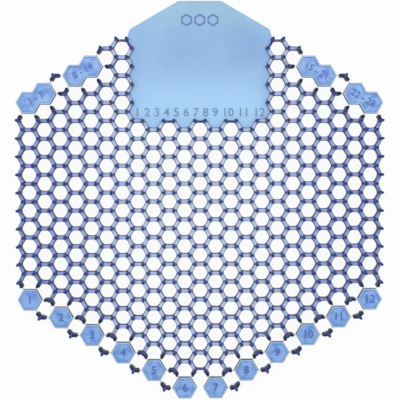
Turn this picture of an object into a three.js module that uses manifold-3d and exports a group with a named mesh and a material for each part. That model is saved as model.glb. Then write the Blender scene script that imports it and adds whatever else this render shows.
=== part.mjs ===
// Urinal deodorizer screen: one flexible moulding that lies in the bowl over the drain.
// A honeycomb mat with a post at every corner of its cells, a thin grip plate at the top,
// single pull-off tabs along the two lower edges and double pull-off tabs on the two upper edges.
// Millimetres, +Z up, +Y towards the grip plate. The origin is under the middle of the mat,
// at the level of its lowest feet.
import * as THREE from "three";
import { mergeVertices } from "three/addons/utils/BufferGeometryUtils.js";
import Module from "manifold-3d";

// Honeycomb
const CELL_PITCH = 8.5; // from the centre of one cell to the centre of the next
const STRUT_WIDTH = 1.8; // flat top of the rib between two cells
const STRUT_DEPTH = 2.8; // from that flat top to the ridge underneath
const COLUMNS = 11; // columns of cells on each side of the middle one

// Posts on the upper face and feet on the lower one
const POST_HEIGHT = 4.8;
const FOOT_HEIGHT = 4.8;
const FOOT_RADIUS = 0.9; // from a foot's axis to its three edges, at the ridge
const FOOT_TIP_RADIUS = 0.45; // the same at the blunt tip of the feet on the outermost corners

// Grip plate
const PLATE_COLUMNS = 4; // columns of cells that it takes the place of, on each side of the middle one
const PLATE_FOOT_ROW = 8; // highest row of cells left open under it
const PLATE_THICKNESS = 1.6;
const PLATE_STEP = 0.5; // how far its face lies below the flat top of the ribs
const PLATE_CROWN_WIDTH = 20; // the short straight edge at its top
const PLATE_SHOULDER_INSET = 1.3; // how far its shoulder leans in from the last corner of the cells
const PLATE_CORNER_RADIUS = 3;
const CORNER_SEGMENTS = 2;

// Pull-off tabs
const TAB_ACROSS_FLATS = 10.2;
const TAB_THICKNESS = 2.8;
const TAB_RUN = 3; // on the upper edges two tab cells and then one open cell, so a run of three
const PLAIN_COLUMNS = 2; // columns of open cells between the grip plate and the first tab

// Cut-back ribs that face a tab, and the thin link that tears when the tab is pulled off
const LINK_LENGTH = 0.5; // from the post on the end of the rib to the tab
const LINK_WIDTH = 0.5;
const LINK_DEPTH = 0.8;

// Colour and finish of the moulding
const MOULDING_COLOUR = 0x8ea6e6;
const MOULDING_ROUGHNESS = 0.35;

// Worked out from the driving dimensions
const CELL_SIDE = CELL_PITCH / Math.sqrt(3);
const HALF_PITCH = CELL_PITCH / 2;
const JUNCTION_RADIUS = STRUT_WIDTH / Math.sqrt(3); // from a corner of the cells to where two ribs meet
const NOSE_LENGTH = 1.5 * JUNCTION_RADIUS; // makes the post on a stub as wide as the others
const RIDGE_LEVEL = FOOT_HEIGHT;
const TOP_LEVEL = RIDGE_LEVEL + STRUT_DEPTH;
const POST_TIP_LEVEL = TOP_LEVEL + POST_HEIGHT;
const TAB_RADIUS = TAB_ACROSS_FLATS / Math.sqrt(3);
const STUB_LENGTH = 2 * CELL_SIDE - TAB_RADIUS - LINK_LENGTH - NOSE_LENGTH; // to its narrowing
const RIM_ROW = 2 * COLUMNS;
const SIXTH_TURN = Math.PI / 3;

const polar = (x, y, radius, angle, z) =>
  new THREE.Vector3(x + radius * Math.cos(angle), y + radius * Math.sin(angle), z);

// The skin of the moulding, gathered facet by facet.
const skin = [];

// A flat or nearly flat facet, turned so that it faces away from a point inside the material.
function facet(points, inside) {
  const [a, b, c] = points;
  const normal = b.clone().sub(a).cross(c.clone().sub(a));
  const facing = normal.dot(a.clone().sub(inside)) > 0 ? points : [...points].reverse();
  for (let n = 1; n < facing.length - 1; n++) {
    for (const p of [facing[0], facing[n], facing[n + 1]]) skin.push(p.x, p.y, p.z);
  }
}

function middleOf(points) {
  const middle = new THREE.Vector3();
  for (const p of points) middle.add(p);
  return middle.divideScalar(points.length);
}

// Cells. A cell is named by its column, counted in steps across, and its row, counted in half pitches up.
const onLowerRim = (column, row) => Math.abs(column) - row === RIM_ROW;
const onUpperRim = (column, row) => Math.abs(column) + row === RIM_ROW;
const underPlate = (column, row) => Math.abs(column) <= PLATE_COLUMNS && row > PLATE_FOOT_ROW;

function kindOf(column, row) {
  const across = Math.abs(column);
  if (underPlate(column, row)) return "plate";
  if (onLowerRim(column, row)) {
    if (column === 0) return "none";
    return across % 2 === 1 ? "tab" : "open";
  }
  if (onUpperRim(column, row) && across > PLATE_COLUMNS + PLAIN_COLUMNS) {
    return across % TAB_RUN === 0 ? "open" : "tab";
  }
  return "open";
}

const openCells = [];
const tabCells = [];
for (let column = -COLUMNS; column <= COLUMNS; column++) {
  const reach = RIM_ROW - Math.abs(column);
  for (let row = -reach; row <= reach; row += 2) {
    const kind = kindOf(column, row);
    if (kind === "open") openCells.push({ column, row });
    if (kind === "tab") tabCells.push({ column, row });
  }
}

// Corners of the cells, on a grid of half sides across and half pitches up.
const spotX = (across) => (across * CELL_SIDE) / 2;
const spotY = (up) => up * HALF_PITCH;
const keyOf = (across, up) => across + "," + up;
const CORNER_STEPS = [
  [2, 0],
  [1, 1],
  [-1, 1],
  [-2, 0],
  [-1, -1],
  [1, -1],
];
const cornersOf = ({ column, row }) => CORNER_STEPS.map(([across, up]) => [3 * column + across, row + up]);

const tabCorners = new Set();
for (const cell of tabCells) {
  for (const [across, up] of cornersOf(cell)) tabCorners.add(keyOf(across, up));
}

// The corners where ribs meet. On one half of them the first rib points to +X and they carry a foot too.
// On the other half it points to -X and the ridges run together in one point.
const junctions = new Map();
for (const cell of openCells) {
  for (const [across, up] of cornersOf(cell)) {
    const key = keyOf(across, up);
    if (tabCorners.has(key)) continue;
    if (!junctions.has(key)) {
      const footed = ((across % 3) + 3) % 3 === 2;
      const junction = { key, across, up, footed, x: spotX(across), y: spotY(up) };
      junctions.set(key, { ...junction, cells: 0, ribs: new Map() });
    }
    junctions.get(key).cells += 1;
  }
}

// A rib leaves a junction in one of three directions, each a number of sixth turns.
const directionsOf = (junction) => (junction.footed ? [0, 2, 4] : [1, 3, 5]);
const sixth = (turns) => ((turns % 6) + 6) % 6;
const directionOf = ([acrossA, upA], [acrossB, upB]) => {
  const aside = Math.sign(acrossB - acrossA);
  const rise = Math.sign(upB - upA);
  return CORNER_STEPS.findIndex(([across, up]) => Math.sign(across) === aside && Math.sign(up) === rise);
};

// Every side of an open cell is a rib. Where one end is a corner of a tab, it is a stub with a link.
const linkedCorners = new Map();
for (const cell of openCells) {
  const corners = cornersOf(cell);
  corners.forEach((corner, n) => {
    const next = corners[(n + 1) % corners.length];
    for (const [from, to] of [
      [corner, next],
      [next, corner],
    ]) {
      const junction = junctions.get(keyOf(...from));
      if (!junction) continue;
      const toKey = keyOf(...to);
      junction.ribs.set(directionOf(from, to), toKey);
      if (tabCorners.has(toKey)) linkedCorners.set(toKey, junction);
    }
  });
}

// The two upper corners and the ridge point at the start of a rib.
function rootOf(junction, direction) {
  const { x, y, footed } = junction;
  return {
    right: polar(x, y, JUNCTION_RADIUS, (direction - 1) * SIXTH_TURN, TOP_LEVEL),
    left: polar(x, y, JUNCTION_RADIUS, (direction + 1) * SIXTH_TURN, TOP_LEVEL),
    ridge: polar(x, y, footed ? FOOT_RADIUS : 0, direction * SIXTH_TURN, RIDGE_LEVEL),
  };
}

// A three-sided rib: flat on top, its two sides drafted in to a ridge underneath.
function addRib(from, fromDirection, to, toDirection) {
  const start = rootOf(from, fromDirection);
  const end = rootOf(to, toDirection);
  const inside = middleOf([start.right, start.left, start.ridge, end.right, end.left, end.ridge]);
  facet([start.right, start.left, end.right, end.left], inside);
  facet([start.left, end.right, end.ridge, start.ridge], inside);
  facet([start.right, end.left, end.ridge, start.ridge], inside);
}

// A post is the triangle between three ribs drawn up to its tip.
function addPost(base) {
  const foot = middleOf(base);
  const tip = foot.clone().setZ(POST_TIP_LEVEL);
  base.forEach((p, n) => facet([p, base[(n + 1) % base.length], tip], foot));
}

// A foot hangs from the ends of the three ridges. On a corner of only one open cell its tip is blunt.
function addFoot(junction) {
  const { x, y } = junction;
  const blunt = junction.cells === 1;
  const directions = directionsOf(junction);
  const base = directions.map((direction) => rootOf(junction, direction).ridge);
  const inside = new THREE.Vector3(x, y, RIDGE_LEVEL);
  directions.forEach((direction, n) => {
    const notch = rootOf(junction, direction).left;
    facet([notch, base[n], base[(n + 1) % base.length]], inside.clone().setZ(TOP_LEVEL));
  });
  if (!blunt) {
    const tip = new THREE.Vector3(x, y, 0);
    base.forEach((p, n) => facet([p, base[(n + 1) % base.length], tip], inside));
    return;
  }
  const end = directions.map((direction) => polar(x, y, FOOT_TIP_RADIUS, direction * SIXTH_TURN, 0));
  base.forEach((p, n) => {
    const next = (n + 1) % base.length;
    facet([p, base[next], end[next], end[n]], inside);
  });
  facet(end, inside);
}

function addJunction(junction) {
  const directions = directionsOf(junction);
  addPost(directions.map((direction) => rootOf(junction, direction).left));
  if (junction.footed) addFoot(junction);
  const inside = new THREE.Vector3(junction.x, junction.y, (TOP_LEVEL + RIDGE_LEVEL) / 2);
  for (const direction of directions) {
    if (junction.ribs.has(direction)) continue;
    const end = rootOf(junction, direction);
    facet([end.right, end.left, end.ridge], inside);
  }
}

// Tabs. A tab's corner that a link reaches is cut off flat by the link's width.
function cornerEdges(cell, n) {
  const x = spotX(3 * cell.column);
  const y = spotY(cell.row);
  const angle = n * SIXTH_TURN;
  const [across, up] = cornersOf(cell)[n];
  const key = keyOf(across, up);
  if (!linkedCorners.has(key)) return [{ at: polar(x, y, TAB_RADIUS, angle, TOP_LEVEL), key: null }];
  const aside = new THREE.Vector3(-Math.sin(angle), Math.cos(angle), 0).multiplyScalar(LINK_WIDTH / 2);
  const setBack = LINK_WIDTH / 2 / Math.tan(SIXTH_TURN);
  const flat = polar(x, y, TAB_RADIUS - setBack, angle, TOP_LEVEL);
  return [
    { at: flat.clone().sub(aside), key },
    { at: flat.clone().add(aside), key },
  ];
}

// Outline of a tab of one cell, or of two cells side by side whose enlarged outlines cross at two notches.
function tabOutline(cells) {
  if (cells.length === 1) return CORNER_STEPS.flatMap((step, n) => cornerEdges(cells[0], n));
  const [first, second] = cells;
  const heading = Math.atan2(spotY(second.row - first.row), spotX(3 * (second.column - first.column)));
  const towards = Math.round(heading / SIXTH_TURN - 0.5);
  const halfOf = (cell, start) => [0, 1, 2, 3].flatMap((n) => cornerEdges(cell, sixth(start + n)));
  const along = (towards + 0.5) * SIXTH_TURN;
  const middleX = spotX(3 * (first.column + second.column)) / 2;
  const middleY = spotY(first.row + second.row) / 2;
  const notchReach = (TAB_ACROSS_FLATS / 2 - CELL_PITCH / 4) / Math.sin(SIXTH_TURN);
  const notch = (side) => {
    const across = along + (side * Math.PI) / 2;
    return { at: polar(middleX, middleY, notchReach, across, TOP_LEVEL), key: null };
  };
  return [...halfOf(first, towards + 2), notch(-1), ...halfOf(second, towards + 5), notch(1)];
}

// A wall of the tab between two upright edges. An edge beside a link has one more point, at the link's
// underside, and the wall is fanned from there, because three points of an upright edge lie in line.
function addTabWall(a, b, inside) {
  const linkLevel = TOP_LEVEL - LINK_DEPTH;
  const low = (edge) => edge.at.clone().setZ(TOP_LEVEL - TAB_THICKNESS);
  const mid = (edge) => (edge.key ? [edge.at.clone().setZ(linkLevel)] : []);
  if (a.key && a.key === b.key) {
    facet([...mid(a), ...mid(b), low(b), low(a)], inside);
    return;
  }
  const round = [low(a), low(b), ...mid(b), b.at, a.at, ...mid(a)];
  const first = Math.max(0, round.findIndex((p) => p.z === linkLevel));
  facet([...round.slice(first), ...round.slice(0, first)], inside);
}

function addTab(cells) {
  const outline = tabOutline(cells);
  const inside = middleOf(outline.map((edge) => edge.at)).setZ(TOP_LEVEL - TAB_THICKNESS / 2);
  const flat = outline.map((edge) => new THREE.Vector2(edge.at.x, edge.at.y));
  for (const level of [TOP_LEVEL, TOP_LEVEL - TAB_THICKNESS]) {
    for (const triangle of THREE.ShapeUtils.triangulateShape(flat, [])) {
      facet(
        triangle.map((n) => outline[n].at.clone().setZ(level)),
        inside,
      );
    }
  }
  outline.forEach((edge, n) => addTabWall(edge, outline[(n + 1) % outline.length], inside));
  return outline;
}

// The stub of a rib with a post on its end, narrowing into the link that reaches the tab.
function addStub(junction, direction, linkEdges) {
  const angle = direction * SIXTH_TURN;
  const root = rootOf(junction, direction);
  const aside = new THREE.Vector3(-Math.sin(angle), Math.cos(angle), 0).multiplyScalar(STRUT_WIDTH / 2);
  const end = polar(junction.x, junction.y, STUB_LENGTH, angle, TOP_LEVEL);
  const right = end.clone().sub(aside);
  const left = end.clone().add(aside);
  const ridge = end.clone().setZ(RIDGE_LEVEL);
  const nose = polar(junction.x, junction.y, STUB_LENGTH + NOSE_LENGTH, angle, TOP_LEVEL);
  const stubInside = middleOf([root.right, root.left, root.ridge, right, left, ridge]);
  facet([root.right, root.left, left, right], stubInside);
  facet([root.left, left, ridge, root.ridge], stubInside);
  facet([root.right, right, ridge, root.ridge], stubInside);
  addPost([right, left, nose]);
  // Seen from the junction the tab's far edge is the left one.
  const [farLeft, farRight] = linkEdges.map((edge) => edge.at);
  const lowLeft = farLeft.clone().setZ(TOP_LEVEL - LINK_DEPTH);
  const lowRight = farRight.clone().setZ(TOP_LEVEL - LINK_DEPTH);
  const inside = middleOf([right, left, ridge, farLeft, farRight, lowLeft, lowRight]);
  facet([right, nose, farRight], inside);
  facet([nose, farLeft, farRight], inside);
  facet([nose, left, farLeft], inside);
  facet([right, ridge, lowRight], inside);
  facet([right, lowRight, farRight], inside);
  facet([left, ridge, lowLeft], inside);
  facet([left, lowLeft, farLeft], inside);
  facet([ridge, lowLeft, lowRight], inside);
}

// Single tabs stand alone on the lower edges; on the upper ones two neighbouring cells make one tab.
function tabGroups() {
  const groups = tabCells.filter((cell) => cell.row < 0).map((cell) => [cell]);
  const upper = tabCells.filter((cell) => cell.row > 0);
  for (const cell of upper) {
    const beside = (other) => other.column === cell.column + 1 && Math.abs(other.row - cell.row) === 1;
    const partner = upper.find(beside);
    if (partner) groups.push([cell, partner]);
  }
  return groups;
}

function addMat() {
  const linkEdgesAt = new Map();
  for (const cells of tabGroups()) {
    for (const edge of addTab(cells)) {
      if (!edge.key) continue;
      if (!linkEdgesAt.has(edge.key)) linkEdgesAt.set(edge.key, []);
      linkEdgesAt.get(edge.key).push(edge);
    }
  }
  for (const junction of junctions.values()) {
    addJunction(junction);
    for (const [direction, farKey] of junction.ribs) {
      const far = junctions.get(farKey);
      if (!far) addStub(junction, direction, linkEdgesAt.get(farKey));
      else if (junction.key < farKey) addRib(junction, direction, far, sixth(direction + 3));
    }
  }
}

// Grip plate. Its lower border runs along the middle of the ribs that it joins.
function plateBorder() {
  const half = [];
  const side = 3 * (PLATE_COLUMNS + 1);
  for (let row = RIM_ROW - PLATE_COLUMNS - 1; row > PLATE_FOOT_ROW + 1; row -= 2) {
    half.push([side - 1, row + 1], [side - 2, row]);
  }
  half.push([side - 1, PLATE_FOOT_ROW + 2]);
  for (let column = PLATE_COLUMNS; column > 0; column--) {
    const top = column % 2 === PLATE_FOOT_ROW % 2 ? PLATE_FOOT_ROW + 1 : PLATE_FOOT_ROW;
    half.push([3 * column + 1, top], [3 * column - 1, top]);
  }
  half.push([1, PLATE_FOOT_ROW + 1]);
  const right = half.map(([across, up]) => new THREE.Vector2(spotX(across), spotY(up)));
  const left = right.map((p) => new THREE.Vector2(-p.x, p.y)).reverse();
  return [...right, ...left];
}

// The free outline above it: a crown between two slopes that line up with the outer corners of the tabs.
function plateShape() {
  const border = plateBorder();
  const slopeReach = (RIM_ROW * 3 * CELL_SIDE) / 4 + TAB_RADIUS;
  const slopeAt = (x) => (slopeReach - Math.abs(x) / 2) / Math.sin(SIXTH_TURN);
  const shoulder = border[0].x - PLATE_SHOULDER_INSET;
  const crown = PLATE_CROWN_WIDTH / 2;
  const free = [-shoulder, -crown, crown, shoulder].map((x) => new THREE.Vector2(x, slopeAt(x)));
  const shape = new THREE.Shape(border);
  free.forEach((corner, n) => {
    const before = n ? free[n - 1] : border[border.length - 1];
    const after = n < free.length - 1 ? free[n + 1] : border[0];
    const into = before.clone().sub(corner).normalize();
    const out = after.clone().sub(corner).normalize();
    const turn = Math.acos(into.dot(out));
    const reach = Math.min(PLATE_CORNER_RADIUS / Math.tan(turn / 2), corner.distanceTo(before) / 2);
    const start = corner.clone().addScaledVector(into, reach);
    const end = corner.clone().addScaledVector(out, reach);
    shape.lineTo(start.x, start.y);
    shape.quadraticCurveTo(corner.x, corner.y, end.x, end.y);
  });
  return shape;
}

function plateGeometry() {
  const geometry = new THREE.ExtrudeGeometry(plateShape(), {
    depth: PLATE_THICKNESS,
    bevelEnabled: false,
    curveSegments: CORNER_SEGMENTS,
  });
  return geometry.translate(0, 0, TOP_LEVEL - PLATE_STEP - PLATE_THICKNESS);
}

function matGeometry() {
  addMat();
  const geometry = new THREE.BufferGeometry();
  return geometry.setAttribute("position", new THREE.Float32BufferAttribute(skin, 3));
}

// Joining two closed meshes into one body
const MERGE_TOLERANCE = 1e-4;
const wasm = await Module();
wasm.setup();

function solidOf(geometry) {
  geometry.deleteAttribute("normal");
  geometry.deleteAttribute("uv");
  const merged = mergeVertices(geometry, MERGE_TOLERANCE);
  return new wasm.Manifold(
    new wasm.Mesh({
      numProp: 3,
      vertProperties: merged.attributes.position.array,
      triVerts: new Uint32Array(merged.index.array),
    }),
  );
}

function geometryOf(solid) {
  const { vertProperties, triVerts } = solid.getMesh();
  const geometry = new THREE.BufferGeometry();
  geometry.setAttribute("position", new THREE.BufferAttribute(vertProperties, 3));
  geometry.setIndex(new THREE.BufferAttribute(triVerts, 1));
  return geometry;
}

const moulding = geometryOf(solidOf(matGeometry()).add(solidOf(plateGeometry())));
moulding.computeBoundingBox();
moulding.translate(0, -moulding.boundingBox.getCenter(new THREE.Vector3()).y, 0);
moulding.computeVertexNormals();

const screen = new THREE.Mesh(
  moulding,
  new THREE.MeshStandardMaterial({
    color: MOULDING_COLOUR,
    roughness: MOULDING_ROUGHNESS,
    metalness: 0,
    flatShading: true,
  }),
);
screen.name = "screen";

const part = new THREE.Group();
part.add(screen);

export default part;
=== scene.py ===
"""Looks of the urinal deodorizer screen: one soft translucent blue moulding on a white floor.

Every piece stands for a feature of the one CAD node, "screen", and rides on its body.
"""

import math

import bpy
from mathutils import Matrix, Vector
from mathutils.kdtree import KDTree


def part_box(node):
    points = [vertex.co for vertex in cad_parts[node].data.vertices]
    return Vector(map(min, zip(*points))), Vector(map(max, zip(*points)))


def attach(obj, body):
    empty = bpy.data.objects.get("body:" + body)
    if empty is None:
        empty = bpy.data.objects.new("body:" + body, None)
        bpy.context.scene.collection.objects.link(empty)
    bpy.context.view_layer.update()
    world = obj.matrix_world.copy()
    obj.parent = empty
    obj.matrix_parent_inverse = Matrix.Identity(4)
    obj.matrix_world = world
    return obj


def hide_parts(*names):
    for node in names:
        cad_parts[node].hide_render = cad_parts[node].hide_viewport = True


bl_info = {
    "name": "Honeycomb urinal screen",
    "version": (1, 0, 0),
    "blender": (4, 5, 0),
    "location": "3D View > Sidebar > Screen",
    "description": "Builds a honeycomb deodorizer screen with posts, grip plate and pull-off tabs",
    "category": "Add Mesh",
}

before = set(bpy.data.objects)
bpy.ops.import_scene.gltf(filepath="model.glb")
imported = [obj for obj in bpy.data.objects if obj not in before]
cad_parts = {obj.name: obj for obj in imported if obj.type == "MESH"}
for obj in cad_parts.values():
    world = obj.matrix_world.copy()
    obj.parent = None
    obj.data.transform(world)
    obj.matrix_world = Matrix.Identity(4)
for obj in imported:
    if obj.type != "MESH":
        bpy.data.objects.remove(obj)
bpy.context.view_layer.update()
SCREEN_LOW, SCREEN_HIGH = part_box("screen")
MM = 0.001
SIXTH = math.pi / 3
MIDDLE_LEVEL = 6.2 * MM  # halfway through the ribs
HUB_Y = 48 * MM  # painted light and shade on the rib edges: edges that face away from a point on the middle line, here above the origin, are painted lighter and those that face it darker
HUB_REACH = 80 * MM  # how far from it the painted light and shade on the edges are full
SAME_SPOT = 0.001 * MM

POST_SIDES = 8
POST_EASE = 0.35 * MM  # height over which a post narrows at its root and rounds off at its tip
POST_NECK = 0.9  # width above the ease, against the root's
POST_END = 0.5  # width of the flat at the very tip, against the tip's
STUB_POST_ROOT = 0.88  # width of a short post, against the others
STUB_POST_TIP = 0.95
STUB_POST_FOOT = 0.8

LINK_LAP = 0.35 * MM  # how far a link runs into its tab
LINK_ROOT = 0.3 * MM  # and into the end of its rib
LINK_DROP = 0.2 * MM  # from the tops of the ribs down to the link
LINK_ROUNDING = 0.08 * MM
NOSE_SHARE = 0.42  # rounding of a cut-back rib's end, against its width

MARK_ROW = 1.9  # the numbers' middle, in half pitches above the highest open cells below the plate
MARK_GAP = 1.15
CELL_MARK_WALL = 0.22  # wall of a small raised cell, against its radius
CELL_MARK_STEP = 2.15  # from one small cell to the next, likewise
NUMBER_RISE = 1.6  # how far a tab's number stands up, against the depth of the dish
RANGE = 7  # how many numbers a double tab stands for

FLOOR_WHITE = 0.93  # share of plain white in the floor as the camera sees it; the rest shows the shadow
SKY_STRENGTH = 0.62
LAMP_PLACE = (-0.05, 0.35, 1.1)
LAMP_SIZE = 0.9
LAMP_POWER = 5.6
CAMERA_PLACE = (-0.00414, 0.01571, 0.4)
CAMERA_TILT = (-2.196, -0.607, -0.078)  # degrees
CAMERA_LENS = 74.57

CORNER_STEPS = ((2, 0), (1, 1), (-1, 1), (-2, 0), (-1, -1), (1, -1))


def from_photo(red, green, blue):
    """A display colour of 0 to 255 a channel, as the linear colour that shaders take."""

    def linear(part):
        part /= 255
        return part / 12.92 if part <= 0.04045 else ((part + 0.055) / 1.055) ** 2.4

    return (linear(red), linear(green), linear(blue))


def length(name, description, default):
    return bpy.props.FloatProperty(
        name=name, description=description, default=default, unit="LENGTH", min=0, precision=5
    )


def count(name, description, default):
    return bpy.props.IntProperty(name=name, description=description, default=default, min=1)


def colour(name, description, default):
    return bpy.props.FloatVectorProperty(
        name=name, description=description, default=default, size=3, subtype="COLOR", min=0, max=1
    )


class HoneycombSizes(bpy.types.PropertyGroup):
    """Sizes of the ribs and posts"""

    cell_pitch: length("Cell pitch", "From one cell's centre to the next", 8.5 * MM)
    columns: count("Columns", "Columns of cells each side of the middle one", 11)
    rib_width: length("Rib width", "From side to side of a rib", 1.95 * MM)
    rib_depth: length("Rib depth", "From top to underside of a rib", 2.8 * MM)
    rib_rounding: length("Rib rounding", "Radius along a rib's edges", 0.5 * MM)
    cell_fillet: length("Cell fillet", "Radius in the corners of a cell", 0.9 * MM)
    post_height: length("Post height", "From the ribs to the tips of the posts", 4.8 * MM)
    post_root: length("Post root", "Radius of a post where it leaves the ribs", 0.97 * MM)
    post_tip: length("Post tip", "Radius of a post below its rounded tip", 0.62 * MM)
    stub_post_height: length("Stub post height", "Height of the post on a cut-back rib", 2.6 * MM)
    stub_reach: length("Stub reach", "From a cell's corner to the rounded end of a cut-back rib", 2.95 * MM)
    stub_post: length("Stub post", "From a cell's corner to the post on a cut-back rib", 2.3 * MM)
    link_width: length("Link width", "Across the thin link to a tab", 0.42 * MM)
    link_depth: length("Link depth", "Height of the thin link to a tab", 0.6 * MM)


class PlateSizes(bpy.types.PropertyGroup):
    """Sizes of the grip plate"""

    columns: count("Plate columns", "Columns of cells that it covers each side of the middle one", 4)
    foot_row: count("Foot row", "Highest row of open cells below it, in half pitches", 8)
    thickness: length("Plate thickness", "Thickness of the grip plate", 1.6 * MM)
    step: length("Plate step", "How far its face lies below the tops of the ribs", 0.5 * MM)
    crown_width: length("Crown width", "The short straight edge at its top", 20 * MM)
    shoulder_inset: length("Shoulder inset", "How far its shoulder leans in", 1.3 * MM)
    corner_rounding: length("Corner rounding", "Cut along its edge at each corner", 0.9 * MM)
    rounding: length("Plate rounding", "Radius along its free edge", 0.4 * MM)
    cell_mark: length("Cell mark", "Across the corners of a small raised cell", 5.8 * MM)
    cell_mark_drop: length("Cell mark drop", "From the crown down to the small cells", 9 * MM)
    mark_height: length("Mark height", "Height of the numbers and cells raised on it", 0.25 * MM)
    number_size: length("Number size", "Size of the row of numbers", 5.6 * MM)


class TabSizes(bpy.types.PropertyGroup):
    """Sizes of the pull-off tabs"""

    across: length("Across flats", "Width of a tab across its flats", 10.2 * MM)
    thickness: length("Tab thickness", "Thickness of a tab", 2.8 * MM)
    rounding: length("Tab rounding", "Radius along a tab's edges", 0.35 * MM)
    border: length("Tab border", "Width of the raised border round its face", 0.75 * MM)
    dish: length("Tab dish", "How far the face lies below its border", 0.3 * MM)
    number_size: length("Tab number size", "Size of the number on a single tab", 5.2 * MM)
    range_size: length("Range size", "Size of the numbers on a double tab", 4.4 * MM)


class ScreenColours(bpy.types.PropertyGroup):
    """Colours of the moulding"""

    rib_top: colour("Rib top", "Tops of the slanting ribs", from_photo(204, 222, 255))
    # painted shade: the rib tops are painted darker towards the sides, and the level ribs a little darker
    # than the slanting ones
    rib_top_rim: colour("Rib top at the rim", "The same towards the sides", from_photo(152, 168, 224))
    rib_level: colour("Level rib", "Tops of the ribs that run across", from_photo(186, 204, 240))
    rib_level_rim: colour("Level rib at the rim", "The same towards the sides", from_photo(142, 158, 216))
    # painted shade: the sides and rounded edges of the ribs are painted dark
    rib_side: colour("Rib side", "Sides and rounded edges of the ribs", from_photo(44, 62, 134))
    # painted shade: the cut-back ribs are painted near black, their sides darkest
    stub_top: colour("Stub top", "Tops of the cut-back ribs", from_photo(64, 62, 124))
    stub_side: colour("Stub side", "Sides of the cut-back ribs", from_photo(26, 24, 70))
    # painted shade: posts are painted dark at their roots and tips and lighter along their sides
    post_root: colour("Post root", "Posts where they leave the ribs", from_photo(22, 50, 126))
    post_flank: colour("Post flank", "Sides of the posts", from_photo(58, 86, 170))
    post_tip: colour("Post tip", "Tips of the posts", from_photo(30, 56, 134))
    plate_foot: colour("Plate foot", "Grip plate beside the cells", from_photo(170, 214, 250))
    plate_middle: colour("Plate middle", "Grip plate at half its height", from_photo(134, 176, 222))
    plate_crown: colour("Plate crown", "Grip plate at its top", from_photo(146, 188, 216))
    plate_border: colour("Plate border", "Grip plate along its side ribs", from_photo(160, 186, 236))
    tab_face: colour("Tab face", "Faces of the tabs", from_photo(143, 183, 238))
    tab_rim: colour("Tab rim", "Raised border of the tabs", from_photo(176, 210, 242))
    tab_shade: colour("Tab shade", "Darker middle of the tabs", from_photo(94, 138, 216))
    # painted shade: the dark side walls of the tabs; the plate's walls are painted partly towards it
    tab_side: colour("Tab side", "Side walls of the tabs", from_photo(52, 76, 124))
    mark: colour("Marks", "Numbers raised on the plate", from_photo(122, 164, 206))
    cell_mark: colour("Cell marks", "Small cells raised on the plate", from_photo(90, 128, 198))
    tab_mark: colour("Tab marks", "Numbers raised on the tabs", from_photo(84, 122, 200))
    link: colour("Links", "Thin links to the tabs", from_photo(205, 225, 250))


class Wire:
    """A node's output that takes part in Python sums."""

    def __init__(self, finish, socket):
        self.finish = finish
        self.socket = socket

    def _sum(self, operation, first, second):
        return self.finish.node("ShaderNodeMath", {"operation": operation}, {0: first, 1: second})

    def __add__(self, other):
        return self._sum("ADD", self, other)

    __radd__ = __add__

    def __sub__(self, other):
        return self._sum("SUBTRACT", self, other)

    def __rsub__(self, other):
        return self._sum("SUBTRACT", other, self)

    def __mul__(self, other):
        return self._sum("MULTIPLY", self, other)

    __rmul__ = __mul__

    def __truediv__(self, other):
        return self._sum("DIVIDE", self, other)

    def __abs__(self):
        return self.finish.node("ShaderNodeMath", {"operation": "ABSOLUTE"}, {0: self})


class Finish:
    """A material being made, with its shader and the nodes that feed it."""

    def __init__(self, name):
        self.material = bpy.data.materials.new(name)
        self.material.use_nodes = True
        self.tree = self.material.node_tree
        self.tree.nodes.clear()
        self.output = self.tree.nodes.new("ShaderNodeOutputMaterial")

    def node(self, kind, settings=None, inputs=None, output=0):
        """A node of one kind, its settings made first, then its sockets filled with values or wires."""
        made = self.tree.nodes.new(kind)
        for key, value in (settings or {}).items():
            setattr(made, key, value)
        for key, value in (inputs or {}).items():
            socket = made.inputs[key]
            if isinstance(value, Wire):
                self.tree.links.new(value.socket, socket)
            else:
                socket.default_value = value
        return Wire(self, made.outputs[output])

    def mix(self, share, first, second):
        """A colour between two colours."""
        first, second = (value if isinstance(value, Wire) else (*value, 1) for value in (first, second))
        return self.node("ShaderNodeMix", {"data_type": "RGBA"}, {0: share, 6: first, 7: second}, output=2)

    def step(self, value, start, end):
        """0 below start, 1 above end and a smooth rise between them."""
        return self.node(
            "ShaderNodeMapRange", {"interpolation_type": "SMOOTHSTEP"}, {0: value, 1: start, 2: end}
        )

    def place(self):
        return self.node("ShaderNodeTexCoord", output="Object")

    def attribute(self, name):
        return self.node("ShaderNodeAttribute", {"attribute_name": name}, output="Fac")

    def clamp(self, value):
        return self.node("ShaderNodeClamp", None, {0: value})

    def part(self, vector, axis):
        return self.node("ShaderNodeSeparateXYZ", None, {0: vector}, output=axis)

    def grain(self, scale, detail=2.0):
        inputs = {"Vector": self.place(), "Scale": scale, "Detail": detail}
        return self.node("ShaderNodeTexNoise", None, inputs, output="Fac")

    def upright(self):
        """1 on faces that look up or down, 0 on walls."""
        return abs(self.part(self.node("ShaderNodeNewGeometry", output="Normal"), "Z"))

    def shade(self, base, roughness, height, bump, subsurface=0.25):
        """The moulding's shader, with what changes over its surface."""
        relief = {"Strength": bump, "Distance": 0.1 * MM, "Height": height}
        inputs = {
            "Base Color": base,
            "Roughness": roughness,
            "IOR": 1.48,
            "Subsurface Weight": subsurface,
            "Subsurface Radius": (0.6, 0.8, 1.6),
            "Subsurface Scale": 0.6 * MM,
            "Normal": self.node("ShaderNodeBump", None, relief),
        }
        shader = self.node("ShaderNodeBsdfPrincipled", None, inputs)
        self.tree.links.new(shader.socket, self.output.inputs["Surface"])
        return self.material


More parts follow.
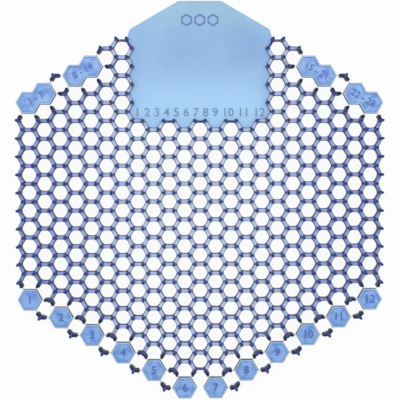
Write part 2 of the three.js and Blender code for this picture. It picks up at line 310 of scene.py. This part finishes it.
def rib_finish(colours):
    """Clear tops between edges painted dark as painted shade. Towards the rim the edges that face outwards
    are painted lighter, a painted light, and the tops are painted darker, a painted shade.
    """
    finish = Finish("rib_finish")
    normal = finish.node("ShaderNodeNewGeometry", output="Normal")
    place = finish.place()
    x, y = finish.part(place, "X"), finish.part(place, "Y")
    # painted light: how far an edge faces outwards from the hub, where it is painted lighter
    outwards = (finish.part(normal, "X") * x + finish.part(normal, "Y") * (y - HUB_Y)) / HUB_REACH
    # painted shade: walls and rounded edges painted dark, less so where they face outwards
    edge = 1 - finish.step(finish.upright(), 0.88, 0.998)
    dark = finish.clamp(edge * (0.92 - 0.85 * outwards))
    # painted shade: rib tops painted darker towards the sides
    rim = finish.step(abs(x), 0.02, 0.075)
    level = finish.mix(rim, colours.rib_level, colours.rib_level_rim)
    cloud = finish.grain(60)
    slanting = finish.mix(rim, colours.rib_top, colours.rib_top_rim)
    # painted shade: the level ribs take their own, slightly darker painted top colour
    top = finish.mix(finish.attribute("level_rib"), slanting, level)
    base = finish.mix(dark, finish.mix(0.25 * cloud, top, colours.rib_level), colours.rib_side)
    return finish.shade(base, 0.3 + 0.12 * cloud, finish.grain(900, 3), 0.15)


def stub_finish(colours):
    """Near black, like the thick ends of the cut-back ribs: a painted shade, with the sides painted darker
    than the tops.
    """
    finish = Finish("stub_finish")
    cloud = finish.grain(400)
    top = finish.mix(0.4 * cloud, colours.stub_top, colours.stub_side)
    # painted shade: sides painted darker than the tops
    base = finish.mix(finish.step(finish.upright(), 0.7, 0.98), colours.stub_side, top)
    return finish.shade(base, 0.3 + 0.12 * cloud, finish.grain(900, 3), 0.15, subsurface=0.05)


def post_finish(colours):
    """Painted shade: dark where the post leaves the ribs, lighter along its side and painted dark again at
    its tip.
    """
    finish = Finish("post_finish")
    height = abs(finish.part(finish.place(), "Z") - MIDDLE_LEVEL)
    # painted shade at the root and the tip, with a lighter flank between
    flank = finish.mix(finish.step(height, 1.9 * MM, 3.2 * MM), colours.post_root, colours.post_flank)
    base = finish.mix(finish.step(height, 5.2 * MM, 6.1 * MM), flank, colours.post_tip)
    return finish.shade(base, 0.28 + 0.1 * finish.grain(200), finish.grain(1200, 2), 0.1, subsurface=0.05)


def plate_finish(colours):
    """Softly clouded, deeper at half its height and paler at its foot and crown, with its side walls
    painted darker as painted shade.
    """
    finish = Finish("plate_finish")
    x, up = finish.part(finish.place(), "X"), finish.part(finish.place(), "Y")
    base = finish.mix(finish.step(up, 0.042, 0.072), colours.plate_foot, colours.plate_middle)
    base = finish.mix(finish.step(up, 0.076, 0.09), base, colours.plate_crown)
    base = finish.mix(0.55 * finish.step(abs(x), 0.027, 0.034), base, colours.plate_border)
    cloud = finish.grain(38, 3)
    base = finish.mix(0.3 * finish.step(cloud, 0.4, 0.7), base, colours.plate_foot)
    # painted shade: the side walls are painted partly towards the dark wall colour
    wall = 1 - finish.step(finish.upright(), 0.3, 0.85)
    base = finish.mix(0.45 * wall, base, colours.tab_side)
    return finish.shade(base, 0.3 + 0.15 * cloud, finish.grain(260, 3), 0.12, subsurface=0.2)


def tab_finish(colours):
    """Mottled face, paler raised border and side walls painted dark as painted shade."""
    finish = Finish("tab_finish")
    cloud = finish.step(finish.grain(260, 2), 0.35, 0.7)
    face = finish.mix(0.85 * cloud, colours.tab_face, colours.tab_shade)
    height = abs(finish.part(finish.place(), "Z") - MIDDLE_LEVEL)
    face = finish.mix(0.7 * finish.step(height, 1.15 * MM, 1.38 * MM), face, colours.tab_rim)
    # painted shade: the side walls are painted dark
    wall = 1 - finish.step(finish.upright(), 0.45, 0.97)
    base = finish.mix(wall, face, colours.tab_side)
    return finish.shade(base, 0.32 + 0.15 * cloud, finish.grain(700, 3), 0.15, subsurface=0.1)


def mark_finish(colours, name, shade):
    finish = Finish(name)
    cloud = finish.grain(300)
    base = finish.mix(0.3 * cloud, shade, colours.tab_side)
    return finish.shade(base, 0.35 + 0.1 * cloud, finish.grain(900), 0.1)


def link_finish(colours):
    finish = Finish("link_finish")
    cloud = finish.grain(500)
    base = finish.mix(0.25 * cloud, colours.link, colours.rib_top)
    return finish.shade(base, 0.3 + 0.1 * cloud, finish.grain(900), 0.1)


class Lattice:
    """Where the cells, their corners and the ribs between them lie.

    A cell is named by its column and its row, counted in half pitches up. A corner is named by half sides
    across and half pitches up.
    """

    def __init__(self, sizes, plate, tabs):
        self.pitch = sizes.cell_pitch
        self.side = self.pitch / math.sqrt(3)
        self.columns = sizes.columns
        self.rim_row = 2 * sizes.columns
        self.plate_columns = plate.columns
        self.foot_row = plate.foot_row
        self.tab_radius = tabs.across / math.sqrt(3)
        self.tab_thickness = tabs.thickness
        self.middle_y = SCREEN_LOW.y + (self.rim_row - 1) * self.pitch / 2 + tabs.across / 2
        self.tip_level = SCREEN_HIGH.z
        self.top = SCREEN_HIGH.z - sizes.post_height
        self.underside = self.top - sizes.rib_depth
        self.open_cells, self.tab_cells = self._sort_cells()
        self.tab_corners = {corner for cell in self.tab_cells for corner in self.corners(cell)}
        open_corners = {corner for cell in self.open_cells for corner in self.corners(cell)}
        self.junctions = open_corners - self.tab_corners
        self.ribs, self.stubs = self._sort_sides()

    def _kind(self, column, row):
        across = abs(column)
        if across <= self.plate_columns and row > self.foot_row:
            return "plate"
        if across - row == self.rim_row:
            return "none" if column == 0 else ("tab" if across % 2 else "open")
        if across + row == self.rim_row and across > self.plate_columns + 2:
            return "tab" if across % 3 else "open"
        return "open"

    def _sort_cells(self):
        found = {"open": [], "tab": [], "plate": [], "none": []}
        for column in range(-self.columns, self.columns + 1):
            reach = self.rim_row - abs(column)
            for row in range(-reach, reach + 1, 2):
                found[self._kind(column, row)].append((column, row))
        return found["open"], found["tab"]

    def _sort_sides(self):
        """Whole ribs as pairs of corners, cut-back ones as a corner and the tab's corner that it faces."""
        ribs, stubs = set(), set()
        for cell in self.open_cells:
            corners = self.corners(cell)
            for first, second in zip(corners, corners[1:] + corners[:1]):
                ends = [end for end in (first, second) if end not in self.tab_corners]
                if len(ends) == 2:
                    ribs.add(frozenset(ends))
                elif len(ends) == 1:
                    stubs.add((ends[0], second if ends[0] == first else first))
        return ribs, sorted(stubs)

    @staticmethod
    def corners(cell):
        column, row = cell
        return [(3 * column + across, row + up) for across, up in CORNER_STEPS]

    @staticmethod
    def around(cell):
        column, row = cell
        steps = ((0, 2), (1, 1), (1, -1), (0, -2), (-1, -1), (-1, 1))
        return [(column + across, row + up) for across, up in steps]

    def spot(self, corner):
        """A corner's place, seen from above."""
        across, up = corner
        return Vector((across * self.side / 2, self.middle_y + up * self.pitch / 2, 0))

    def centre(self, cell):
        return self.spot((3 * cell[0], cell[1]))

    def heading(self, start, end):
        way = self.spot(end) - self.spot(start)
        return math.atan2(way.y, way.x)

    def tabs(self):
        """Single tabs of the lower edges from left to right, then the double ones of the upper edges."""
        single = [[cell] for cell in sorted(self.tab_cells) if cell[1] < 0]
        upper = sorted(cell for cell in self.tab_cells if cell[1] > 0)
        double = [[upper[n], upper[n + 1]] for n in range(0, len(upper), 2)]
        return single, double


def lattice_of(scene):
    return Lattice(scene.screen_honeycomb, scene.screen_plate, scene.screen_tabs)


def deselect():
    if bpy.context.object and bpy.context.object.mode != "OBJECT":
        bpy.ops.object.mode_set(mode="OBJECT")
    bpy.ops.object.select_all(action="DESELECT")


def pick(*pieces):
    deselect()
    for piece in pieces:
        piece.select_set(True)
    bpy.context.view_layer.objects.active = pieces[0]


class editing:
    """Edit mode on one piece, with everything selected at the start."""

    def __init__(self, piece):
        self.piece = piece

    def __enter__(self):
        pick(self.piece)
        bpy.ops.object.mode_set(mode="EDIT")
        bpy.ops.mesh.select_all(action="SELECT")

    def __exit__(self, *error):
        bpy.ops.object.mode_set(mode="OBJECT")


class editing_kept:
    """Edit mode on one piece, with what is selected in code kept."""

    def __init__(self, piece, mode="FACE"):
        self.piece = piece
        self.mode = mode

    def __enter__(self):
        pick(self.piece)
        bpy.ops.object.mode_set(mode="EDIT")
        bpy.context.tool_settings.mesh_select_mode = [self.mode == m for m in ("VERT", "EDGE", "FACE")]

    def __exit__(self, *error):
        bpy.ops.object.mode_set(mode="OBJECT")


def settle(piece):
    """Moves the piece's place into its mesh."""
    pick(piece)
    bpy.ops.object.transform_apply(location=True, rotation=True, scale=True)


def spread(shape, places, name):
    """Copies a shape to each (x, y, turn), joins the copies into one piece and drops the shape."""
    copies = []
    for x, y, turn in places:
        copy = shape.copy()
        copy.data = shape.data.copy()
        copy.location = (x, y, 0)
        copy.rotation_euler = (0, 0, turn)
        bpy.context.collection.objects.link(copy)
        copies.append(copy)
    bpy.data.objects.remove(shape)
    pick(*copies)
    bpy.ops.object.join()
    piece = bpy.context.object
    piece.name = piece.data.name = name
    settle(piece)
    return piece


def select_nothing(piece):
    for part in (piece.data.vertices, piece.data.edges, piece.data.polygons):
        part.foreach_set("select", [False] * len(part))


def select_faces(piece, test):
    """Selects the faces whose centre and normal pass the test, for the next edit."""
    select_nothing(piece)
    for face in piece.data.polygons:
        face.select = test(face.center, face.normal)


def select_edges(piece, test):
    """Selects the edges whose two ends pass the test, for an edit that starts in edge mode."""
    bpy.context.tool_settings.mesh_select_mode = (False, True, False)
    select_nothing(piece)
    for edge in piece.data.edges:
        edge.select = test(*(piece.data.vertices[end].co for end in edge.vertices))


def select_corners(piece, test):
    """Selects the corners whose place passes the test."""
    select_nothing(piece)
    for corner in piece.data.vertices:
        corner.select = test(corner.co)


def modify(piece, kind, **settings):
    """Adds a modifier, sets it and applies it."""
    pick(piece)
    modifier = piece.modifiers.new(kind.lower(), kind)
    for key, value in settings.items():
        setattr(modifier, key, value)
    bpy.ops.object.modifier_apply(modifier=modifier.name)


def round_edges(piece, width, segments=2, angle=50, clamp=True):
    modify(
        piece,
        "BEVEL",
        width=width,
        segments=segments,
        limit_method="ANGLE",
        angle_limit=math.radians(angle),
        use_clamp_overlap=clamp,
    )


def face_out(piece):
    """Merges doubles, then turns the faces outwards."""
    with editing(piece):
        bpy.ops.mesh.remove_doubles(threshold=0.002 * MM)
        bpy.ops.mesh.normals_make_consistent(inside=False)


def smooth(piece, angle=40):
    pick(piece)
    bpy.ops.object.shade_smooth_by_angle(angle=math.radians(angle))


def dress(piece, material):
    """Gives a finished piece its material and its body, and hides the CAD part that it stands for."""
    piece.data.materials.clear()
    piece.data.materials.append(material)
    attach(piece, "root")
    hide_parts("screen")
    return piece


def hexagon(radius, place, turn=0):
    """One flat hexagonal face, its place and turn in its mesh."""
    deselect()
    bpy.ops.mesh.primitive_circle_add(
        vertices=6, radius=radius, fill_type="NGON", location=place, rotation=(0, 0, turn)
    )
    face = bpy.context.object
    settle(face)
    return face


def cell_sheet(lattice, cells, level, name):
    """A flat sheet of whole cells, sharing their sides."""
    cell = hexagon(lattice.side, (0, 0, level), SIXTH / 2)
    places = [(*lattice.centre(one).xy, 0) for one in cells]
    sheet = spread(cell, places, name)
    with editing(sheet):
        bpy.ops.mesh.remove_doubles(threshold=0.02 * MM)
    return sheet


def points_tree(points):
    tree = KDTree(len(points))
    for n, point in enumerate(points):
        tree.insert(point, n)
    tree.balance()
    return tree


def make_honeycomb(lattice, sizes):
    """The ribs: a sheet of cells inset one by one, their middles and the sides without a rib cut away."""
    cells = set(lattice.open_cells)
    for cell in lattice.open_cells:
        cells.update(lattice.around(cell))
    cells = sorted(cells)
    sheet = cell_sheet(lattice, cells, lattice.top, "honeycomb")
    half = sizes.rib_width / 2
    with editing(sheet):
        bpy.ops.mesh.inset(thickness=half, use_individual=True, use_even_offset=True)
        bpy.ops.mesh.bevel(offset=sizes.cell_fillet, affect="VERTICES", segments=2, profile=0.5)
    centres = points_tree([lattice.centre(cell) for cell in cells])
    sides = set()
    for cell in cells:
        corners = lattice.corners(cell)
        sides.update(frozenset(pair) for pair in zip(corners, corners[1:] + corners[:1]))
    sides = sorted(sides, key=sorted)
    middles = points_tree([sum((lattice.spot(end) for end in side), Vector()) / 2 for side in sides])
    reach = lattice.side / 2 - half

    def spare(centre, normal):
        """True for a cell's middle, and for what belongs to a side that has no rib."""
        seen = Vector((centre.x, centre.y, 0))
        if centres.find(seen)[2] < lattice.side / 3:
            return True
        _, nearest, distance = middles.find(seen)
        if distance < reach:
            return sides[nearest] not in lattice.ribs
        close = [sides[n] for _, n, _ in middles.find_n(seen, 2)]
        return not all(side in lattice.ribs for side in close)

    select_faces(sheet, spare)
    with editing_kept(sheet):
        bpy.ops.mesh.delete(type="FACE")
    modify(sheet, "SOLIDIFY", thickness=sizes.rib_depth, offset=-1, use_even_offset=True)
    round_edges(sheet, sizes.rib_rounding, 3, clamp=False)
    mark_level_ribs(sheet, lattice, sides, middles)
    smooth(sheet)
    return sheet


def mark_level_ribs(sheet, lattice, sides, middles):
    """Notes on each face whether its rib runs straight across, for the ribs' colour, in which the level
    ribs are painted a little darker as painted shade.
    """
    level = [1.0 if len({up for _, up in side}) == 1 else 0.0 for side in sides]
    values = [level[middles.find(Vector((*face.center.xy, 0)))[1]] for face in sheet.data.polygons]
    sheet.data.attributes.new("level_rib", "FLOAT", "FACE").data.foreach_set("value", values)


def spindle(rings, name):
    """A round post drawn up through rings of level and radius."""
    level, radius = rings[0]
    deselect()
    bpy.ops.mesh.primitive_circle_add(
        vertices=POST_SIDES, radius=radius, fill_type="NGON", location=(0, 0, level)
    )
    post = bpy.context.object
    post.name = name
    settle(post)
    with editing(post):
        for next_level, next_radius in rings[1:]:
            rise = (0, 0, next_level - level)
            bpy.ops.mesh.extrude_region_move(TRANSFORM_OT_translate={"value": rise})
            scale = next_radius / radius
            bpy.ops.transform.resize(value=(scale, scale, 1), center_override=(0, 0, next_level))
            level, radius = next_level, next_radius
    face_out(post)
    return post


def make_posts(lattice, sizes):
    """One spindle through every junction: a post above the ribs and its foot below them."""
    root, tip, end = sizes.post_root, sizes.post_tip, lattice.tip_level
    rings = [
        (SCREEN_LOW.z, tip * POST_END),
        (SCREEN_LOW.z + POST_EASE, tip),
        (lattice.underside, root),
        (lattice.top, root),
        (lattice.top + POST_EASE, root * POST_NECK),
        (end - POST_EASE, tip),
        (end, tip * POST_END),
    ]
    places = [(*lattice.spot(corner).xy, 0) for corner in sorted(lattice.junctions)]
    posts = spread(spindle(rings, "post"), places, "posts")
    smooth(posts, 60)
    return posts


def make_stub_posts(lattice, sizes):
    """The short posts on the ends of the cut-back ribs."""
    root, tip = sizes.post_root * STUB_POST_ROOT, sizes.post_tip * STUB_POST_TIP
    end = lattice.top + sizes.stub_post_height
    rings = [
        (lattice.underside + POST_EASE, root * STUB_POST_FOOT),
        (lattice.top, root),
        (lattice.top + POST_EASE, root * POST_NECK),
        (end - POST_EASE, tip),
        (end, tip * POST_END),
    ]
    places = []
    for start, far in lattice.stubs:
        turn = lattice.heading(start, far)
        away = Vector((math.cos(turn), math.sin(turn), 0)) * sizes.stub_post
        places.append((*(lattice.spot(start) + away).xy, turn))
    posts = spread(spindle(rings, "stub_post"), places, "stub_posts")
    smooth(posts, 60)
    return posts


def stub_places(lattice):
    """Where the cut-back ribs start, and which way they point."""
    return [(*lattice.spot(start).xy, lattice.heading(start, far)) for start, far in lattice.stubs]


def make_bar(name, start, end, width, top, depth):
    """A plain bar along +X."""
    deselect()
    bpy.ops.mesh.primitive_cube_add(size=1, location=((start + end) / 2, 0, top - depth / 2))
    bar = bpy.context.object
    bar.name = name
    bar.scale = (end - start, width, depth)
    settle(bar)
    return bar


def make_stubs(lattice, sizes):
    """The cut-back ribs that face a tab, each with a rounded end."""
    end, width, depth = sizes.stub_reach, sizes.rib_width, sizes.rib_depth
    bar = make_bar("stubs", 0, end, width, lattice.top, depth)
    select_edges(bar, lambda a, b: min(a.x, b.x) > end - SAME_SPOT and abs(a.z - b.z) > depth / 2)
    with editing_kept(bar, "EDGE"):
        bpy.ops.mesh.bevel(offset=width * NOSE_SHARE, affect="EDGES", segments=4)
    round_edges(bar, sizes.rib_rounding)
    stubs = spread(bar, stub_places(lattice), "stubs")
    smooth(stubs)
    return stubs


def make_links(lattice, sizes):
    """The thin links that tear when a tab is pulled off."""
    start = sizes.stub_reach - LINK_ROOT
    end = 2 * lattice.side - lattice.tab_radius + LINK_LAP
    bar = make_bar("links", start, end, sizes.link_width, lattice.top - LINK_DROP, sizes.link_depth)
    round_edges(bar, LINK_ROUNDING)
    links = spread(bar, stub_places(lattice), "links")
    smooth(links)
    return links


def raised_text(words, size, place, height, name, turn=0, gap=1):
    """Plain numbers, centred on a place and standing up by half their height."""
    deselect()
    bpy.ops.object.text_add(location=place, rotation=(0, 0, turn))
    text = bpy.context.object
    text.data.body = words
    text.data.align_x = "CENTER"
    text.data.align_y = "CENTER"
    text.data.size = size
    text.data.extrude = height / 2
    text.data.space_word = gap
    text.data.resolution_u = 4
    text.data.offset = 0.015 * size
    bpy.ops.object.convert(target="MESH")
    piece = bpy.context.object
    piece.name = piece.data.name = name
    settle(piece)
    with editing(piece):
        bpy.ops.mesh.remove_doubles(threshold=SAME_SPOT)
    return piece


def cut_off(place, away):
    """Cuts what is selected along a plane and drops what lies beyond it."""
    bpy.ops.mesh.select_all(action="SELECT")
    bpy.ops.mesh.bisect(plane_co=place, plane_no=away, clear_outer=True, threshold=SAME_SPOT)


def tab_sheet(lattice, cells):
    """The outline of a tab as one flat face. Two enlarged cells are each cut off halfway and joined."""
    level = lattice.top - lattice.tab_thickness
    middle = sum((lattice.centre(cell) for cell in cells), Vector()) / len(cells)
    halves = []
    for cell in cells:
        spot = lattice.centre(cell)
        half = hexagon(lattice.tab_radius, (*spot.xy, level), SIXTH / 2)
        if len(cells) == 2:
            with editing(half):
                cut_off((*middle.xy, level), (middle - spot).normalized())
        halves.append(half)
    pick(*halves)
    if len(halves) == 2:
        bpy.ops.object.join()
    sheet = bpy.context.object
    with editing(sheet):
        bpy.ops.mesh.remove_doubles(threshold=0.01 * MM)
        bpy.ops.mesh.dissolve_limited(angle_limit=0.01)
    return sheet


def make_tab(lattice, tabs, cells, name):
    """A tab of one or two cells, its face dished inside a raised border."""
    tab = tab_sheet(lattice, cells)
    tab.name = tab.data.name = name
    with editing(tab):
        bpy.ops.mesh.extrude_region_move(TRANSFORM_OT_translate={"value": (0, 0, tabs.thickness)})
    face_out(tab)
    round_edges(tab, tabs.rounding, 3, 30)
    select_faces(tab, lambda centre, normal: abs(normal.z) > 0.99)
    with editing_kept(tab):
        bpy.ops.mesh.inset(thickness=tabs.border - tabs.rounding, use_even_offset=True)
        bpy.ops.mesh.inset(thickness=tabs.dish, depth=-tabs.dish, use_even_offset=True)
    smooth(tab, 35)
    return tab


def make_plate(lattice, sizes):
    """The grip plate: a sheet of whole cells, cut along its slopes, crown and shoulders."""
    face = lattice.top - sizes.step
    columns = sizes.columns
    last = lattice.rim_row - columns - 1
    cells = [(sign * (columns + 1), last + 2) for sign in (-1, 1)]
    for column in range(-columns, columns + 1):
        row = sizes.foot_row + 2 if column % 2 == 0 else sizes.foot_row + 1
        cells += [(column, up) for up in range(row, lattice.rim_row + 4, 2)]
    plate = cell_sheet(lattice, sorted(cells), face, "grip_plate")
    last_corner = lattice.spot((3 * columns + 2, last + 1))
    reach = 0.75 * lattice.rim_row * lattice.side + lattice.tab_radius
    slope = Vector((math.cos(SIXTH), math.sin(SIXTH), 0))
    origin = Vector((0, lattice.middle_y, 0))

    def slope_at(x):
        return lattice.middle_y + (reach - x * slope.x) / slope.y

    crown = Vector((sizes.crown_width / 2, slope_at(sizes.crown_width / 2), 0))
    shoulder_x = last_corner.x - sizes.shoulder_inset
    shoulder = Vector((shoulder_x, slope_at(shoulder_x), 0))
    lean = shoulder - last_corner
    cuts = [(origin + slope * reach, slope), (last_corner, Vector((lean.y, -lean.x, 0)).normalized())]
    with editing(plate):
        for sign in (-1, 1):
            for point, away in cuts:
                cut_off((sign * point.x, point.y, face), (sign * away.x, away.y, 0))
        cut_off((0, crown.y, face), (0, 1, 0))
    return plate, crown, shoulder


def finish_plate(plate, crown, shoulder, sizes):
    """Makes the cut sheet one face, rounds its corners and gives it its thickness."""
    with editing(plate):
        bpy.ops.mesh.dissolve_faces()
        bpy.ops.mesh.select_all(action="SELECT")
        bpy.ops.mesh.dissolve_limited(angle_limit=0.01)
    ends = [Vector((sign * spot.x, spot.y, 0)) for spot in (crown, shoulder) for sign in (-1, 1)]
    select_corners(
        plate, lambda place: any((Vector((place.x, place.y, 0)) - end).length < 0.1 * MM for end in ends)
    )
    with editing_kept(plate, "VERT"):
        bpy.ops.mesh.bevel(offset=sizes.corner_rounding, affect="VERTICES", segments=4)
    modify(plate, "SOLIDIFY", thickness=sizes.thickness, offset=-1)
    round_edges(plate, sizes.rounding, 3, 50)
    smooth(plate, 35)
    return plate


def make_cell_marks(sizes, y, face):
    """Three small outlined cells in a row, raised on the plate."""
    radius = sizes.cell_mark / 2
    mark = hexagon(radius, (0, 0, face))
    select_faces(mark, lambda centre, normal: True)
    with editing_kept(mark):
        bpy.ops.mesh.inset(thickness=radius * CELL_MARK_WALL, use_even_offset=True)
        bpy.ops.mesh.delete(type="FACE")
    step = radius * CELL_MARK_STEP
    marks = spread(mark, [(column * step, y, 0) for column in (-1, 0, 1)], "plate_cells")
    modify(marks, "SOLIDIFY", thickness=sizes.mark_height * 2, offset=0)
    return marks


class SCREEN_OT_honeycomb(bpy.types.Operator):
    """Build the honeycomb of ribs"""

    bl_idname = "screen.honeycomb"
    bl_label = "Honeycomb"

    def execute(self, context):
        scene = context.scene
        lattice = lattice_of(scene)
        dress(make_honeycomb(lattice, scene.screen_honeycomb), rib_finish(scene.screen_colours))
        return {"FINISHED"}


class SCREEN_OT_posts(bpy.types.Operator):
    """Build the posts and feet"""

    bl_idname = "screen.posts"
    bl_label = "Posts"

    def execute(self, context):
        scene = context.scene
        lattice = lattice_of(scene)
        dress(make_posts(lattice, scene.screen_honeycomb), post_finish(scene.screen_colours))
        return {"FINISHED"}


class SCREEN_OT_stubs(bpy.types.Operator):
    """Build the cut-back ribs and their links"""

    bl_idname = "screen.stubs"
    bl_label = "Stubs and links"

    def execute(self, context):
        scene = context.scene
        lattice = lattice_of(scene)
        dress(make_stubs(lattice, scene.screen_honeycomb), stub_finish(scene.screen_colours))
        dress(make_stub_posts(lattice, scene.screen_honeycomb), stub_finish(scene.screen_colours))
        dress(make_links(lattice, scene.screen_honeycomb), link_finish(scene.screen_colours))
        return {"FINISHED"}


class SCREEN_OT_plate(bpy.types.Operator):
    """Build the grip plate with its raised numbers"""

    bl_idname = "screen.plate"
    bl_label = "Grip plate"

    def execute(self, context):
        scene = context.scene
        sizes = scene.screen_plate
        lattice = lattice_of(scene)
        plate, crown, shoulder = make_plate(lattice, sizes)
        dress(finish_plate(plate, crown, shoulder, sizes), plate_finish(scene.screen_colours))
        face = lattice.top - sizes.step
        words = " ".join(str(number) for number in range(1, 13))
        place = (0, lattice.middle_y + (sizes.foot_row + MARK_ROW) * lattice.pitch / 2, face)
        height = sizes.mark_height * 2
        numbers = raised_text(words, sizes.number_size, place, height, "plate_numbers", gap=MARK_GAP)
        colours = scene.screen_colours
        dress(numbers, mark_finish(colours, "mark_finish", colours.mark))
        cells = make_cell_marks(sizes, crown.y - sizes.cell_mark_drop, face)
        dress(cells, mark_finish(colours, "cell_mark_finish", colours.cell_mark))
        return {"FINISHED"}


class SCREEN_OT_tabs(bpy.types.Operator):
    """Build the pull-off tabs with their numbers"""

    bl_idname = "screen.tabs"
    bl_label = "Tabs"

    def execute(self, context):
        scene = context.scene
        tabs = scene.screen_tabs
        lattice = lattice_of(scene)
        face = tab_finish(scene.screen_colours)
        ink = mark_finish(scene.screen_colours, "number_finish", scene.screen_colours.tab_mark)
        rise = tabs.dish * NUMBER_RISE
        singles, doubles = lattice.tabs()
        for number, cells in enumerate(singles, 1):
            name = f"single_tab_{number:02d}"
            dress(make_tab(lattice, tabs, cells, name), face)
            place = (*lattice.centre(cells[0]).xy, lattice.top - tabs.dish)
            dress(raised_text(str(number), tabs.number_size, place, rise, name + "_number"), ink)
        for number, cells in enumerate(doubles, 1):
            name = f"double_tab_{number}"
            dress(make_tab(lattice, tabs, cells, name), face)
            first, second = (lattice.centre(cell) for cell in cells)
            way = second - first
            place = (*((first + second) / 2).xy, lattice.top - tabs.dish)
            words = f"{RANGE * number - RANGE + 1} - {RANGE * number}"
            turn = math.atan2(way.y, way.x)
            dress(raised_text(words, tabs.range_size, place, rise, name + "_numbers", turn), ink)
        return {"FINISHED"}


class SCREEN_OT_stage(bpy.types.Operator):
    """Set the floor, the light and the camera"""

    bl_idname = "screen.stage"
    bl_label = "Stage"

    def execute(self, context):
        scene = context.scene
        scene.view_settings.view_transform = "Standard"
        make_floor()
        make_light(scene)
        make_camera(scene)
        return {"FINISHED"}


def make_floor():
    """A white floor that shows the object's shadow."""
    deselect()
    bpy.ops.mesh.primitive_plane_add(size=3, location=(0, 0, SCREEN_LOW.z))
    floor = bpy.context.object
    floor.name = "floor"
    settle(floor)
    finish = Finish("floor_finish")
    path = finish.tree.nodes.new("ShaderNodeLightPath")
    rays = ("Is Camera Ray", "Is Glossy Ray", "Is Transmission Ray")
    share = finish.clamp(sum(Wire(finish, path.outputs[ray]) for ray in rays))
    paper = finish.node("ShaderNodeBsdfDiffuse", None, {"Color": (0.86, 0.88, 0.9, 1)})
    white = finish.node("ShaderNodeEmission", None, {"Color": (1, 1, 1, 1), "Strength": 1.0})
    mixed = finish.node("ShaderNodeMixShader", None, {0: FLOOR_WHITE * share, 1: paper, 2: white})
    finish.tree.links.new(mixed.socket, finish.output.inputs["Surface"])
    floor.data.materials.append(finish.material)


def make_light(scene):
    """A plain sky, which the camera sees as white, and one soft lamp."""
    world = bpy.data.worlds.new("studio")
    scene.world = world
    world.use_nodes = True
    tree = world.node_tree
    path = tree.nodes.new("ShaderNodeLightPath")
    mixed = tree.nodes.new("ShaderNodeMixShader")
    seen = tree.nodes.new("ShaderNodeBackground")
    seen.inputs["Color"].default_value = (1, 1, 1, 1)
    seen.inputs["Strength"].default_value = 1
    sky = tree.nodes["Background"]
    sky.inputs["Color"].default_value = (1, 1, 1, 1)
    sky.inputs["Strength"].default_value = SKY_STRENGTH
    tree.links.new(path.outputs["Is Camera Ray"], mixed.inputs[0])
    tree.links.new(sky.outputs[0], mixed.inputs[1])
    tree.links.new(seen.outputs[0], mixed.inputs[2])
    tree.links.new(mixed.outputs[0], tree.nodes["World Output"].inputs["Surface"])
    deselect()
    bpy.ops.object.light_add(type="AREA", location=LAMP_PLACE)
    lamp = bpy.context.object
    lamp.name = "softbox"
    lamp.data.size = LAMP_SIZE
    lamp.data.energy = LAMP_POWER
    lamp.rotation_euler = (Vector((0, 0, 0)) - lamp.location).to_track_quat("-Z", "Y").to_euler()


def make_camera(scene):
    """Looks straight down, a little tilted."""
    deselect()
    bpy.ops.object.camera_add(location=CAMERA_PLACE, rotation=[math.radians(turn) for turn in CAMERA_TILT])
    camera = bpy.context.object
    camera.name = "camera"
    camera.data.lens = CAMERA_LENS
    scene.camera = camera


class SCREEN_PT_panel(bpy.types.Panel):
    """The screen's builders, in the sidebar"""

    bl_idname = "SCREEN_PT_panel"
    bl_label = "Honeycomb screen"
    bl_space_type = "VIEW_3D"
    bl_region_type = "UI"
    bl_category = "Screen"

    def draw(self, context):
        for operator in OPERATORS:
            self.layout.operator(operator.bl_idname)
        for name in GROUPS:
            group = getattr(context.scene, name)
            box = self.layout.box()
            for key in group.__annotations__:
                box.prop(group, key)


OPERATORS = (
    SCREEN_OT_honeycomb,
    SCREEN_OT_posts,
    SCREEN_OT_stubs,
    SCREEN_OT_plate,
    SCREEN_OT_tabs,
    SCREEN_OT_stage,
)
GROUPS = {
    "screen_honeycomb": HoneycombSizes,
    "screen_plate": PlateSizes,
    "screen_tabs": TabSizes,
    "screen_colours": ScreenColours,
}


def register():
    for group in GROUPS.values():
        bpy.utils.register_class(group)
    for name, group in GROUPS.items():
        setattr(bpy.types.Scene, name, bpy.props.PointerProperty(type=group))
    for operator in OPERATORS:
        bpy.utils.register_class(operator)
    bpy.utils.register_class(SCREEN_PT_panel)


def unregister():
    bpy.utils.unregister_class(SCREEN_PT_panel)
    for operator in reversed(OPERATORS):
        bpy.utils.unregister_class(operator)
    for name, group in GROUPS.items():
        delattr(bpy.types.Scene, name)
        bpy.utils.unregister_class(group)


def main():
    register()
    bpy.ops.screen.stage()
    bpy.ops.screen.honeycomb()
    bpy.ops.screen.posts()
    bpy.ops.screen.stubs()
    bpy.ops.screen.plate()
    bpy.ops.screen.tabs()


if __name__ == "__main__":
    main()
